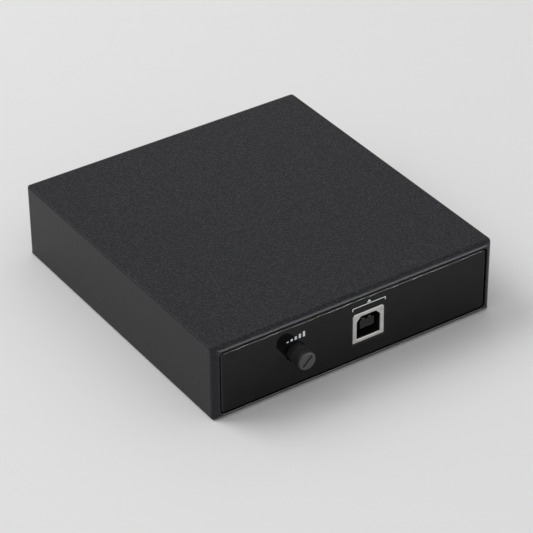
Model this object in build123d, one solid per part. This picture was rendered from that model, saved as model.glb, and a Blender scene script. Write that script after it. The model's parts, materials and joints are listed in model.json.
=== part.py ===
from build123d import *
import math
import os

# A small phono preamp with a USB output: a folded metal case with a gloss front panel, a level
# knob, a USB socket at the front, and phono sockets, a ground post and a power jack at the back.
#
# Millimetres. x is to the right of someone facing the front, y to the back, z up. z = 0 is the
# surface that the feet stand on. x = 0 is the case's middle, and y = 0 is midway between the
# knob's cap and the ends of the phono sockets, the two things that reach furthest.

# ---------------------------------------------------------------- driving dimensions: the case
case_width = 105.5
case_depth = 113.0
case_height = 26.2
sheet = 1.2                # every folded sheet of the case
long_edge_round = 0.7      # the crisp fold between the top and each side
top_bend = 0.65            # inside radius of the rolled lip at the top, front and back
side_bend = 1.1            # the same at the sides
base_bend = 0.1            # the same at the bottom
seam = 0.15                # gap all round between the cover and the base
tab_reach = 9.0            # the cover's tabs, which lie on the base
tab_width = 8.0
tab_from_end = 31.0
foot_r = 5.0
foot_height = 0.5
foot_edge = 0.12
foot_from_side = 9.0
foot_from_end = 8.5

# ---------------------------------------------------------------- the front and rear panels
rim_gap = 0.6              # dark gap between the rolled lip and the front panel
panel_thick = 1.5
panel_recess = 0.1
panel_corner = 1.1
panel_bevel = 0.35
film_thick = 0.2           # double-sided film behind the front panel
film_margin = 0.5
plate_side_gap = 0.3       # bracket and rear panel inside the cover
flange_reach = 10.0        # their flanges, which lie on the base
rear_panel_gap = 0.4       # rear panel behind the rolled lip
flange_screw_from_side = 22.75

# ---------------------------------------------------------------- fasteners
screw_r = 1.25
screw_length = 5.0
screw_play = 0.15
thread_play = 0.02
flat_head_r = 2.3
flat_head_depth = 1.05
socket_af = 1.5            # hexagon socket, across its flats
socket_depth = 0.7
clinch_nut_r = 2.75
clinch_nut_height = 1.4
pan_head_r = 2.3
pan_head_height = 1.5

# ---------------------------------------------------------------- the circuit board
board_thick = 1.6
board_edge_gap = 0.5
board_side_gap = 2.6
standoff_height = 4.6
standoff_af = 5.0
spigot_r = 2.05
spigot_play = 0.03
standoff_from_side = 9.7
standoff_from_front = 16.5
standoff_from_rear = 19.5
lead_r = 0.4
lead_play = 0.1
lead_tail = 1.2            # leads below the board

# ---------------------------------------------------------------- the level control
knob_from_left = 29.9
knob_r = 3.15
knob_reach = 6.2           # its cap ahead of the case's front
knob_tail = 2.4            # its back end behind the case's front
knob_round = 0.5
knob_hole_play = 0.35
knob_wall = 2.2            # solid cap ahead of the shaft
knob_flutes = 20
flute_r = 0.25
flute_length = 3.2
flute_start = 0.8
slot_length = 4.4
slot_width = 0.7
slot_depth = 0.45
slot_angle = 43.0          # at rest, up from the x axis
shaft_r = 2.0
shaft_play = 0.05
fit_play = 0.02            # pieces pushed together
pot_axis_above_board = 6.4
pot_gap = 1.0              # the bush behind the knob
bush_wall = 1.0
bush_length = 3.0
pot_width = 9.8
pot_above = 4.9            # body above its own axis
pot_plate = 0.8
pot_body_depth = 6.2
pot_front_wall = 2.2
pot_cavity_r = 4.2
track_thick = 0.8
wiper_r = 3.8
wiper_thick = 1.2
wiper_contact = 0.7
wiper_gap = 0.1
terminal_pitch = 2.5
lug_spread = 8.6

# ---------------------------------------------------------------- the USB socket
usb_from_left = 57.3
usb_width = 12.04
usb_height = 10.93
usb_corner = 0.7
usb_recess = 0.15
usb_length = 16.0
usb_can_wall = 0.35
usb_hole_play = 0.2
usb_mouth_width = 8.8
usb_mouth_height = 8.1
usb_mouth_corner = 1.6
usb_mouth_depth = 8.8
usb_lining = 0.3
tongue_width = 5.5
tongue_height = 3.0
tongue_setback = 0.8
tongue_rise = 0.3          # its middle above the mouth's middle
usb_contact_setback = 0.4  # contacts behind the tongue's tip
usb_block_end = 13.4
usb_contact_width = 1.1
usb_contact_thick = 0.3
usb_contact_pitch = 2.5
usb_lug_y = 7.0

# ---------------------------------------------------------------- the sockets at the back
socket_reach = 8.6         # phono barrels behind the case's back
socket_axis_above_board = 6.6
phono_pitch = 14.0
barrel_r = 4.15
barrel_wall = 0.6
barrel_hole_play = 0.35    # round it in the rear panel
barrel_seat = 4.0
barrel_seat_step = 0.2     # the end inside the panel is thinner by this
barrel_shoulder = 0.2      # shoulder off the panel's face
barrel_edge = 0.3
barrel_play = 0.03
phono_pin_hole_r = 1.65
phono_pin_relief = 0.2     # the hole widens behind its mouth
phono_contact_wall = 0.45
phono_pin_hole_length = 8.3
phono_pin_depth = 14.0
phono_face_setback = 0.6
phono_contact_setback = 1.4
phono_block_width = 27.0
phono_block_depth = 13.0
phono_block_height = 12.8
phono_screw_above_axis = 3.3
tapping_screw_r = 1.5
tapping_screw_length = 8.0
tapping_head_r = 2.6
tapping_head_height = 1.7
cross_width = 0.7          # cross recess in its head
post_r = 2.0
post_hole_play = 0.15
post_inside = 6.0
post_pitch = 0.7
post_end = 0.9             # post past the thumb nut
post_space = 9.0           # room across the panel
post_gap = 0.1             # between pieces that move against each other
hex_nut_af = 7.0
seat_nut_height = 2.0
lock_nut_height = 2.4
clamp_washer_r = 4.2
clamp_washer_thick = 0.8
thumb_nut_r = 4.5
thumb_nut_height = 5.0
thumb_nut_grooves = 24
groove_r = 0.3
tag_thick = 0.8
tag_r = 3.9
tag_strip = 2.4
tag_foot = 2.6
jack_depth = 13.0
jack_height = 11.0
jack_nose_wall = 0.8
jack_nose_play = 0.2
jack_side_wall = 0.5       # body beside its nose
jack_nose_reach = 0.8
jack_cavity_r = 3.2
jack_cavity_depth = 10.0
jack_pin_r = 1.05
jack_pin_root_step = 0.2   # the end in the body's back wall is thinner by this
jack_pin_shoulder = 0.2    # shoulder off the cavity's end
jack_pin_setback = 1.0
jack_pin_tail = 0.9
jack_spring_thick = 0.45
jack_spring_height = 2.0

# ---------------------------------------------------------------- parts on the board
# Places on the board are given from its middle.
can_r = 4.0
can_height = 11.0
can_lead_pitch = 3.5
can_places = [(-34, 26), (-24, 26), (-34, 14), (8, 18), (19, 18), (34, -18)]
film_size = (7.2, 3.0, 6.5)
film_lead_pitch = 5.0
film_places = [(-12, 26), (-2, 26), (-12, 18), (-2, 18), (32, 24), (32, 17), (32, 10)]
amplifier_size = (9.6, 6.4, 3.3)
amplifier_lift = 0.6
amplifier_pin_pitch = 2.54
amplifier_row_gap = 7.62
amplifier_pins_a_side = 4
amplifier_places = [(-22, 12), (14, 3)]
codec_size = (10.2, 5.3, 1.75)
codec_place = (2, -16)
codec_pins_a_side = 14
codec_pin_pitch = 0.65
codec_pin_size = (0.35, 1.2, 0.25)
crystal_size = (11.0, 4.5, 3.6)
crystal_lead_pitch = 4.9
crystal_place = (2, -6)
regulator_size = (6.5, 6.1, 2.3)
regulator_tab = (5.4, 1.6, 0.6)
regulator_place = (-37, -2)
resistor_size = (2.0, 1.25, 0.5)
resistor_rows = [(-24, 0, 6), (-24, -8, 5), (18, -10, 5), (-34, -20, 4), (-12, 7, 4)]
resistor_pitch = 3.6

# ---------------------------------------------------------------- places worked out from them
front_y = -(case_depth + socket_reach - knob_reach) / 2
rear_y = front_y + case_depth
side_x = case_width / 2
inner_x = side_x - sheet
base_z = foot_height
floor_z = base_z + sheet               # top of the base plate
top_z = base_z + case_height
ceiling_z = top_z - sheet
top_roll = top_bend + sheet
side_roll = side_bend + sheet
base_roll = base_bend + sheet

panel_front_y = front_y + panel_recess
panel_back_y = panel_front_y + panel_thick
bracket_front_y = panel_back_y + film_thick
bracket_back_y = bracket_front_y + sheet
rear_inside_y = rear_y - 2 * sheet - rear_panel_gap
rear_face_y = rear_inside_y + sheet
plate_x = inner_x - plate_side_gap
plate_top_z = ceiling_z - plate_side_gap
flange_top_z = floor_z + sheet

board_under_z = floor_z + standoff_height
board_z = board_under_z + board_thick
board_front_y = bracket_back_y + board_edge_gap
board_back_y = rear_inside_y - board_edge_gap
board_x = inner_x - board_side_gap
board_mid_y = (board_front_y + board_back_y) / 2
lead_low_z = board_under_z - lead_tail

standoff_places = [
    (side * (side_x - standoff_from_side), y)
    for side in (-1, 1)
    for y in (front_y + standoff_from_front, rear_y - standoff_from_rear)
]
tab_places = [
    (side * (inner_x - tab_reach / 2), y)
    for side in (-1, 1)
    for y in (front_y + tab_from_end, rear_y - tab_from_end)
]
bracket_screw_y = bracket_back_y + flange_reach / 2
rear_screw_y = rear_inside_y - flange_reach / 2
flange_screw_places = [
    (side * (side_x - flange_screw_from_side), y)
    for side in (-1, 1)
    for y in (bracket_screw_y, rear_screw_y)
]
case_screw_places = tab_places + flange_screw_places

knob_x = -side_x + knob_from_left
knob_z = board_z + pot_axis_above_board
knob_cap_y = front_y - knob_reach
knob_end_y = front_y + knob_tail
bush_front_y = knob_end_y + pot_gap
pot_plate_y = bush_front_y + bush_length
pot_body_y = pot_plate_y + pot_plate
track_y = pot_body_y + pot_body_depth
pot_back_y = track_y + track_thick
wiper_back_y = track_y - wiper_gap - wiper_contact

usb_x = -side_x + usb_from_left
usb_z = board_z + usb_height / 2
tongue_z = usb_z + tongue_rise
usb_face_y = panel_front_y + usb_recess
usb_back_y = usb_face_y + usb_length

socket_z = board_z + socket_axis_above_board
barrel_bore_r = barrel_r - barrel_wall
barrel_seat_r = barrel_r - barrel_seat_step
barrel_hole_r = barrel_r + barrel_hole_play
phono_contact_r = phono_pin_hole_r + phono_contact_wall
jack_nose_r = jack_cavity_r + jack_nose_wall
jack_width = 2 * (jack_nose_r + jack_side_wall)
jack_pin_root_r = jack_pin_r - jack_pin_root_step
barrel_end_y = rear_y + socket_reach
barrel_start_y = rear_inside_y - barrel_seat
barrel_shoulder_y = rear_face_y + barrel_shoulder
phono_block_front_y = rear_inside_y - phono_block_depth
phono_screw_z = socket_z + phono_screw_above_axis

# The four things on the rear panel stand in a row with equal gaps between them.
rear_row = [phono_block_width, post_space, phono_block_width, jack_width]
rear_row_gap = (2 * plate_x - sum(rear_row)) / (len(rear_row) + 1)


def rear_row_x(number):
    """The middle of one of the four, counted from the right-hand side of the front view."""
    before = sum(rear_row[:number]) + (number + 1) * rear_row_gap
    return plate_x - before - rear_row[number] / 2


input_x = rear_row_x(0)
post_x = rear_row_x(1)
output_x = rear_row_x(2)
jack_x = rear_row_x(3)
phono_sockets = {
    "input_left": input_x + phono_pitch / 2,
    "input_right": input_x - phono_pitch / 2,
    "output_left": output_x + phono_pitch / 2,
    "output_right": output_x - phono_pitch / 2,
}

seat_nut_y = rear_face_y
clamp_washer_y = seat_nut_y + seat_nut_height + post_gap
thumb_nut_y = clamp_washer_y + clamp_washer_thick + post_gap
post_end_y = thumb_nut_y + thumb_nut_height + post_end
tag_y = rear_inside_y - tag_thick
jack_nose_y = rear_face_y + jack_nose_reach


# ---------------------------------------------------------------- shapes used again and again
def block(x0, x1, y0, y1, z0, z1):
    """A box between two opposite corners."""
    middle = Pos((x0 + x1) / 2, (y0 + y1) / 2, (z0 + z1) / 2)
    return middle * Box(x1 - x0, y1 - y0, z1 - z0)


def rod_y(x, z, r, y0, y1):
    """A round bar along y."""
    return Pos(x, (y0 + y1) / 2, z) * Rot(90, 0, 0) * Cylinder(r, y1 - y0)


def rod_z(x, y, r, z0, z1):
    """A round bar along z."""
    return Pos(x, y, (z0 + z1) / 2) * Cylinder(r, z1 - z0)


def along_y(outline, y0, y1):
    """An outline in x and z, drawn out from y0 to y1."""
    return extrude(Plane.XZ.offset(-y1) * outline, y1 - y0)


def hexagon(across_flats):
    return RegularPolygon(across_flats / math.sqrt(3), 6)


def lead(x, y, z_top):
    """A wire from a part down through the board."""
    return rod_z(x, y, lead_r, lead_low_z, z_top)


def lead_hole(x, y):
    return rod_z(x, y, lead_r + lead_play, board_under_z - 1, board_z + 1)


def ring_places(x, z, r, count):
    """Places at equal steps round a circle in x and z."""
    step = 2 * math.pi / count
    return [(x + r * math.cos(n * step), z + r * math.sin(n * step)) for n in range(count)]


def rounded_rectangle(width, height, low_round, high_round):
    """A rectangle with one radius at its two low corners and another at its two high ones."""
    outline = Rectangle(width, height)
    for corners, radius in ((slice(0, 2), low_round), (slice(-2, None), high_round)):
        if radius > 0:
            outline = fillet(outline.vertices().sort_by(Axis.Y)[corners], radius)
    return outline


def cut_corner_outline(x, z, width, height, corner):
    """A rectangle in x and z with its two high corners cut off at 45 degrees."""
    half = width / 2
    low = -height / 2
    high = height / 2
    points = [
        (-half, low),
        (half, low),
        (half, high - corner),
        (half - corner, high),
        (-half + corner, high),
        (-half, high - corner),
    ]
    return Pos(x, z) * Polygon(*points, align=None)


# ---------------------------------------------------------------- the case
def case_block(inset):
    """The case's outside shape, or that shape set in all round by a sheet's thickness."""
    width = case_width - 2 * inset
    depth = case_depth - 2 * inset
    height = case_height - 2 * inset
    middle_y = (front_y + rear_y) / 2
    middle_z = (base_z + top_z) / 2
    side_view = rounded_rectangle(depth, height, base_roll - inset, top_roll - inset)
    end_view = rounded_rectangle(width, height, 0, long_edge_round - inset)
    plan = rounded_rectangle(width, depth, side_roll - inset, side_roll - inset)
    lengthwise = extrude(Plane.YZ * Pos(middle_y, middle_z) * side_view, width / 2, both=True)
    crosswise = along_y(Pos(0, middle_z) * end_view, front_y + inset, rear_y - inset)
    upright = extrude(Plane.XY.offset(base_z + inset) * Pos(0, middle_y) * plan, height)
    return lengthwise & crosswise & upright


def rim_outline():
    """The opening inside the rolled lips, the same at the front and the back."""
    width = case_width - 2 * side_roll
    height = case_height - base_roll - top_roll
    corner = panel_corner + rim_gap
    middle_z = base_z + base_roll + height / 2
    return Pos(0, middle_z) * RectangleRounded(width, height, corner)


def case_shell():
    return case_block(0) - case_block(sheet) - along_y(rim_outline(), front_y - 1, rear_y + 1)


def base_slab(side_gap, rise):
    """The space that the base takes between the cover's sides."""
    x = inner_x - side_gap
    return block(-x, x, front_y - 1, rear_y + 1, base_z - 1, base_z + base_roll + rise)


def screw_hole(x, y):
    """A countersunk hole through the base, and the plain hole above it."""
    play = thread_play
    cone = Cone(flat_head_r + play, screw_r + play, flat_head_depth)
    countersink = Pos(x, y, base_z + flat_head_depth / 2) * cone
    return countersink + rod_z(x, y, screw_r + screw_play, base_z - 1, flange_top_z + 1)


def make_top_cover():
    cover = case_shell() - base_slab(0, seam)
    for x, y in tab_places:
        inner = x - math.copysign(tab_reach / 2, x)
        outer = x + math.copysign(tab_reach / 2, x)
        low, high = sorted((inner, outer))
        y0 = y - tab_width / 2
        tab = block(low, high, y0, y0 + tab_width, floor_z, flange_top_z)
        cover += tab
    for x, y in tab_places:
        cover -= screw_hole(x, y)
    return cover


def make_base_tray():
    tray = case_shell() & base_slab(seam, 0)
    for x, y in case_screw_places:
        tray -= screw_hole(x, y)
    for x, y in standoff_places:
        tray -= rod_z(x, y, spigot_r + spigot_play, base_z - 1, floor_z + 1)
    return tray


def make_foot(x, y):
    foot = rod_z(x, y, foot_r, 0, foot_height)
    return fillet(foot.edges().sort_by(Axis.Z)[0], foot_edge)


def panel_outline(margin, corner):
    """The front panel's outline, or one set in from it by a margin."""
    width = case_width - 2 * (side_roll + rim_gap + margin)
    height = case_height - base_roll - top_roll - 2 * (rim_gap + margin)
    middle_z = base_z + base_roll + (case_height - base_roll - top_roll) / 2
    return Pos(0, middle_z) * RectangleRounded(width, height, corner)


def usb_body(margin, y0, y1):
    """The USB socket's outside, grown all round by a margin."""
    grow = 2 * margin
    size = (usb_width + grow, usb_height + grow)
    return along_y(cut_corner_outline(usb_x, usb_z, *size, usb_corner), y0, y1)


def front_holes(y0, y1):
    knob_hole = rod_y(knob_x, knob_z, knob_r + knob_hole_play, y0, y1)
    return knob_hole + usb_body(usb_hole_play, y0, y1)


def make_front_panel():
    panel = along_y(panel_outline(0, panel_corner), panel_front_y, panel_back_y)
    front_edges = panel.faces().sort_by(Axis.Y)[0].edges()
    panel = chamfer(front_edges, panel_bevel)
    return panel - front_holes(panel_front_y - 1, panel_back_y + 1)


def make_panel_film():
    outline = panel_outline(film_margin, panel_corner - film_margin)
    film = along_y(outline, panel_back_y, bracket_front_y)
    return film - front_holes(panel_back_y - 1, bracket_front_y + 1)


def make_front_bracket():
    plate = block(-plate_x, plate_x, bracket_front_y, bracket_back_y, floor_z, plate_top_z)
    flange_y = bracket_back_y + flange_reach
    flange = block(-plate_x, plate_x, bracket_front_y, flange_y, floor_z, flange_top_z)
    bracket = plate + flange - front_holes(bracket_front_y - 1, bracket_back_y + 1)
    for x, y in flange_screw_places:
        bracket -= rod_z(x, y, screw_r + screw_play, floor_z - 1, flange_top_z + 1)
    return bracket


def make_rear_panel():
    plate = block(-plate_x, plate_x, rear_inside_y, rear_face_y, floor_z, plate_top_z)
    flange_y = rear_inside_y - flange_reach
    flange = block(-plate_x, plate_x, flange_y, rear_face_y, floor_z, flange_top_z)
    through = (rear_inside_y - 1, rear_face_y + 1)
    panel = plate + flange
    for x in phono_sockets.values():
        panel -= rod_y(x, socket_z, barrel_hole_r, *through)
    for x in (input_x, output_x):
        panel -= rod_y(x, phono_screw_z, tapping_screw_r + screw_play, *through)
    panel -= rod_y(post_x, socket_z, post_r + post_hole_play, *through)
    panel -= rod_y(jack_x, socket_z, jack_nose_r + jack_nose_play, *through)
    for x, y in flange_screw_places:
        panel -= rod_z(x, y, screw_r + screw_play, floor_z - 1, flange_top_z + 1)
    return panel


# ---------------------------------------------------------------- fasteners
def make_case_screw(x, y):
    head = Pos(x, y, base_z + flat_head_depth / 2) * Cone(flat_head_r, screw_r, flat_head_depth)
    shank = rod_z(x, y, screw_r, base_z + flat_head_depth / 2, base_z + screw_length)
    socket = extrude(Plane.XY.offset(base_z) * Pos(x, y) * hexagon(socket_af), socket_depth)
    return head + shank - socket


def make_clinch_nut(x, y):
    nut = rod_z(x, y, clinch_nut_r, flange_top_z, flange_top_z + clinch_nut_height)
    return nut - rod_z(x, y, screw_r + thread_play, 0, top_z)


def make_standoff(x, y):
    post = extrude(Plane.XY.offset(floor_z) * Pos(x, y) * hexagon(standoff_af), standoff_height)
    spigot = rod_z(x, y, spigot_r, base_z, floor_z)
    bore = rod_z(x, y, screw_r + thread_play, floor_z, board_under_z + 1)
    return post + spigot - bore


def make_board_screw(x, y):
    head = rod_z(x, y, pan_head_r, board_z, board_z + pan_head_height)
    head = fillet(head.edges().sort_by(Axis.Z)[-1], pan_head_height / 2)
    shank = rod_z(x, y, screw_r, board_z - screw_length, board_z)
    recess_z = board_z + pan_head_height - socket_depth
    recess = extrude(Plane.XY.offset(recess_z) * Pos(x, y) * hexagon(socket_af), 1)
    return head + shank - recess


def make_tapping_screw(x):
    end_y = rear_face_y + tapping_head_height
    head = rod_y(x, phono_screw_z, tapping_head_r, rear_face_y, end_y)
    head = fillet(head.edges().sort_by(Axis.Y)[-1], tapping_head_height / 2)
    tip_y = rear_face_y - tapping_screw_length
    shank = rod_y(x, phono_screw_z, tapping_screw_r, tip_y, rear_face_y)
    cross_length = 2 * tapping_screw_r
    cross = Rectangle(cross_length, cross_width) + Rectangle(cross_width, cross_length)
    recess = along_y(Pos(x, phono_screw_z) * cross, end_y - socket_depth, end_y + 1)
    return head + shank - recess


# ---------------------------------------------------------------- the level control
def make_level_knob():
    knob = rod_y(knob_x, knob_z, knob_r, knob_cap_y, knob_end_y)
    knob = fillet(knob.edges().sort_by(Axis.Y)[0], knob_round)
    flute_y = knob_cap_y + flute_start
    for x, z in ring_places(knob_x, knob_z, knob_r, knob_flutes):
        knob -= rod_y(x, z, flute_r, flute_y, flute_y + flute_length)
    slot = Pos(knob_x, knob_z) * Rot(0, 0, slot_angle) * Rectangle(slot_length, slot_width)
    knob -= along_y(slot, knob_cap_y - 1, knob_cap_y + slot_depth)
    return knob - rod_y(knob_x, knob_z, shaft_r + fit_play, knob_cap_y + knob_wall, knob_end_y + 1)


def make_level_shaft():
    return rod_y(knob_x, knob_z, shaft_r, knob_cap_y + knob_wall, wiper_back_y)


def make_level_wiper():
    disc_y = wiper_back_y - wiper_thick
    wiper = rod_y(knob_x, knob_z, wiper_r, disc_y, wiper_back_y)
    wiper -= rod_y(knob_x, knob_z, shaft_r + fit_play, disc_y - 1, wiper_back_y + 1)
    inner = (shaft_r + wiper_r) / 2
    for x, z in ring_places(knob_x, knob_z, inner, 3):
        wiper += rod_y(x, z, wiper_contact / 2, wiper_back_y, wiper_back_y + wiper_contact)
    return wiper


def pot_box(y0, y1):
    half = pot_width / 2
    return block(knob_x - half, knob_x + half, y0, y1, board_z, knob_z + pot_above)


def make_pot_bush():
    bush = rod_y(knob_x, knob_z, shaft_r + bush_wall, bush_front_y, pot_plate_y)
    bush += pot_box(pot_plate_y, pot_body_y)
    for place in pot_lug_places():
        bush += lead(*place, board_z + pot_plate)
    return bush - rod_y(knob_x, knob_z, shaft_r + shaft_play, bush_front_y - 1, pot_body_y + 1)


def make_pot_body():
    body = pot_box(pot_body_y, track_y)
    body -= rod_y(knob_x, knob_z, shaft_r + 2 * shaft_play, pot_body_y - 1, track_y)
    return body - rod_y(knob_x, knob_z, pot_cavity_r, pot_body_y + pot_front_wall, track_y + 1)


def make_pot_track():
    return pot_box(track_y, pot_back_y)


def pot_lug_places():
    return [(knob_x + side * lug_spread / 2, pot_plate_y + pot_plate / 2) for side in (-1, 1)]


def pot_terminal_places():
    return [(knob_x + step * terminal_pitch, pot_back_y + lead_r) for step in (-1, 0, 1)]


# ---------------------------------------------------------------- the USB socket
def usb_mouth(margin, y0, y1):
    """The socket's mouth, grown all round by a margin."""
    size = (usb_mouth_width + 2 * margin, usb_mouth_height + 2 * margin)
    outline = cut_corner_outline(usb_x, usb_z, *size, usb_mouth_corner)
    return along_y(outline, y0, y1)


usb_lining_y = usb_face_y + usb_mouth_depth
usb_block_back_y = usb_face_y + usb_block_end
usb_pin_y = usb_block_back_y + lead_r
tongue_y = usb_face_y + tongue_setback


def usb_contact_places():
    """The middle of each contact's strip: two above the tongue and two below it."""
    rise = tongue_height / 2 + usb_contact_thick / 2
    sides = (-usb_contact_pitch / 2, usb_contact_pitch / 2)
    return [(usb_x + side, tongue_z + way * rise, way) for side in sides for way in (-1, 1)]


def usb_pin_place(x, way):
    """Where a contact's wire goes down: the upper pair stands behind the lower one."""
    return x, usb_pin_y + (1 + way) * lead_r * 1.5


def usb_strip(x, z, y0, y1, play):
    half = usb_contact_width / 2 + play
    rise = usb_contact_thick / 2 + play
    return block(x - half, x + half, y0, y1, z - rise, z + rise)


def make_usb_shell():
    can = usb_body(0, usb_face_y, usb_back_y)
    can -= usb_body(-usb_can_wall, usb_face_y + usb_can_wall, usb_back_y + 1)
    lining = usb_mouth(usb_lining, usb_face_y, usb_lining_y)
    shell = can + lining - usb_mouth(0, usb_face_y - 1, usb_lining_y + 1)
    x0 = usb_x - usb_width / 2 + 1
    x1 = usb_x + usb_width / 2 - 1
    shell -= block(x0, x1, usb_block_back_y, usb_back_y + 1, board_z - 1, board_z + 1)
    for place in usb_lug_places():
        shell += lead(*place, board_z + usb_can_wall)
    return shell


def usb_lug_places():
    half = (usb_width - usb_can_wall) / 2
    return [(usb_x - half, usb_face_y + usb_lug_y), (usb_x + half, usb_face_y + usb_lug_y)]


def make_usb_insulator():
    inside = -usb_can_wall - fit_play
    filling = usb_body(inside, usb_face_y + usb_can_wall + fit_play, usb_block_back_y)
    around = usb_lining + fit_play
    filling -= usb_mouth(around, usb_face_y - 1, usb_lining_y + fit_play)
    half = tongue_width / 2
    rise = tongue_height / 2
    low, high = tongue_z - rise, tongue_z + rise
    filling += block(usb_x - half, usb_x + half, tongue_y, usb_lining_y + 1, low, high)
    for x, z, way in usb_contact_places():
        filling -= usb_strip(x, z, usb_lining_y - 1, usb_block_back_y + 1, fit_play)
    for x, y in usb_lug_places():
        filling -= rod_z(x, y, lead_r + fit_play, board_z, board_z + usb_can_wall + fit_play)
    return filling


def make_usb_contact(x, z, way):
    pin_x, pin_y = usb_pin_place(x, way)
    strip = usb_strip(x, z, tongue_y + usb_contact_setback, pin_y, 0)
    return strip + lead(pin_x, pin_y, z)


# ---------------------------------------------------------------- the phono sockets
def phono_leg_places(x):
    """Where a socket's barrel and its contact go down through the board."""
    return [(x, barrel_start_y + 1), (x, phono_block_front_y - 2 * lead_r)]


def make_phono_block(middle_x):
    half = phono_block_width / 2
    depth = (phono_block_front_y, rear_inside_y)
    body = block(middle_x - half, middle_x + half, *depth, board_z, board_z + phono_block_height)
    for side in (-1, 1):
        x = middle_x + side * phono_pitch / 2
        body -= rod_y(x, socket_z, barrel_seat_r + barrel_play, barrel_start_y, rear_inside_y + 1)
        contact_room = phono_contact_r + barrel_play
        body -= rod_y(x, socket_z, contact_room, phono_block_front_y - 1, rear_inside_y)
        body -= rod_z(x, barrel_start_y + 1, lead_r + lead_play, board_z - 1, socket_z)
    pilot_y = rear_inside_y - tapping_screw_length
    pilot_r = tapping_screw_r + thread_play
    return body - rod_y(middle_x, phono_screw_z, pilot_r, pilot_y, rear_inside_y + 1)


def make_barrel(x):
    tube = rod_y(x, socket_z, barrel_r, barrel_shoulder_y, barrel_end_y)
    tube = fillet(tube.edges().sort_by(Axis.Y)[-1], barrel_edge)
    tube += rod_y(x, socket_z, barrel_seat_r, barrel_start_y, barrel_shoulder_y)
    tube -= rod_y(x, socket_z, barrel_bore_r, barrel_start_y - 1, barrel_end_y + 1)
    wall_z = socket_z - (barrel_seat_r + barrel_bore_r) / 2
    return tube + lead(*phono_leg_places(x)[0], wall_z)


def make_phono_insulator(x):
    end_y = barrel_end_y - phono_face_setback
    plug = rod_y(x, socket_z, barrel_bore_r - barrel_play, barrel_start_y, end_y)
    return plug - rod_y(x, socket_z, phono_contact_r + barrel_play, barrel_start_y - 1, end_y + 1)


def make_phono_contact(x):
    mouth_y = barrel_end_y - phono_contact_setback
    leg_x, leg_y = phono_leg_places(x)[1]
    tube = rod_y(x, socket_z, phono_contact_r, leg_y - lead_r, mouth_y)
    tube -= rod_y(x, socket_z, phono_pin_hole_r, mouth_y - phono_pin_hole_length, mouth_y + 1)
    relief_end = mouth_y - phono_pin_hole_length
    relief_r = phono_pin_hole_r + phono_pin_relief
    tube -= rod_y(x, socket_z, relief_r, mouth_y - phono_pin_depth, relief_end)
    return tube + lead(leg_x, leg_y, socket_z)


# ---------------------------------------------------------------- the ground post
def hex_nut(y0, y1):
    nut = along_y(Pos(post_x, socket_z) * hexagon(hex_nut_af), y0, y1)
    return nut - rod_y(post_x, socket_z, post_r + thread_play, y0 - 1, y1 + 1)


def make_ground_post():
    post = rod_y(post_x, socket_z, post_r, rear_inside_y - post_inside, post_end_y)
    return chamfer(post.edges().filter_by(GeomType.CIRCLE), post_pitch / 2)


def make_clamp_washer():
    y1 = clamp_washer_y + clamp_washer_thick
    washer = rod_y(post_x, socket_z, clamp_washer_r, clamp_washer_y, y1)
    return washer - rod_y(post_x, socket_z, post_r + post_hole_play, clamp_washer_y - 1, y1 + 1)


def make_thumb_nut():
    y1 = thumb_nut_y + thumb_nut_height
    nut = rod_y(post_x, socket_z, thumb_nut_r, thumb_nut_y, y1)
    nut = chamfer(nut.edges().filter_by(GeomType.CIRCLE), groove_r)
    for x, z in ring_places(post_x, socket_z, thumb_nut_r, thumb_nut_grooves):
        nut -= rod_y(x, z, groove_r, thumb_nut_y - 1, y1 + 1)
    return nut - rod_y(post_x, socket_z, post_r + shaft_play, thumb_nut_y - 1, y1 + 1)


def tag_leg_place():
    return post_x, rear_inside_y - tag_foot + 2 * lead_r


def make_ground_tag():
    ring = rod_y(post_x, socket_z, tag_r, tag_y, rear_inside_y)
    half = tag_strip / 2
    strip = block(post_x - half, post_x + half, tag_y, rear_inside_y, board_z, socket_z)
    foot_y = rear_inside_y - tag_foot
    foot = block(post_x - half, post_x + half, foot_y, rear_inside_y, board_z, board_z + tag_thick)
    tag = ring + strip + foot + lead(*tag_leg_place(), board_z + tag_thick / 2)
    return tag - rod_y(post_x, socket_z, post_r + post_hole_play, tag_y - 1, rear_inside_y + 1)


# ---------------------------------------------------------------- the power jack
jack_back_y = rear_inside_y - jack_depth
jack_pin_leg_y = jack_back_y - jack_pin_tail + lead_r
jack_spring_x = jack_x - jack_cavity_r - jack_spring_thick / 2
jack_spring_y = (rear_inside_y - 8.6, rear_inside_y - 1.6)
jack_spring_leg_y = jack_spring_y[0] + lead_r


def jack_spring_room(play):
    half = jack_spring_thick / 2 + play
    rise = jack_spring_height / 2 + play
    y0, y1 = jack_spring_y
    x = jack_spring_x
    return block(x - half, x + half, y0 - play, y1 + play, socket_z - rise, socket_z + rise)


def make_jack_body():
    half = jack_width / 2
    top_z = board_z + jack_height
    body = block(jack_x - half, jack_x + half, jack_back_y, rear_inside_y, board_z, top_z)
    body += rod_y(jack_x, socket_z, jack_nose_r, rear_inside_y - 1, jack_nose_y)
    body -= rod_y(jack_x, socket_z, jack_cavity_r, jack_nose_y - jack_cavity_depth, jack_nose_y + 1)
    body -= rod_y(jack_x, socket_z, jack_pin_root_r + fit_play, jack_back_y - 1, jack_nose_y)
    body -= jack_spring_room(fit_play)
    leg_r = lead_r + fit_play
    return body - rod_z(jack_spring_x, jack_spring_leg_y, leg_r, board_z - 1, socket_z)


def make_jack_pin():
    tip_y = jack_nose_y - jack_pin_setback
    root_y = jack_nose_y - jack_cavity_depth + jack_pin_shoulder
    pin = rod_y(jack_x, socket_z, jack_pin_r, root_y, tip_y)
    pin = fillet(pin.edges().sort_by(Axis.Y)[-1], jack_pin_r / 3)
    pin += rod_y(jack_x, socket_z, jack_pin_root_r, jack_back_y - jack_pin_tail, root_y)
    return pin + lead(jack_x, jack_pin_leg_y, socket_z)


def make_jack_spring():
    return jack_spring_room(0) + lead(jack_spring_x, jack_spring_leg_y, socket_z)


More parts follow.
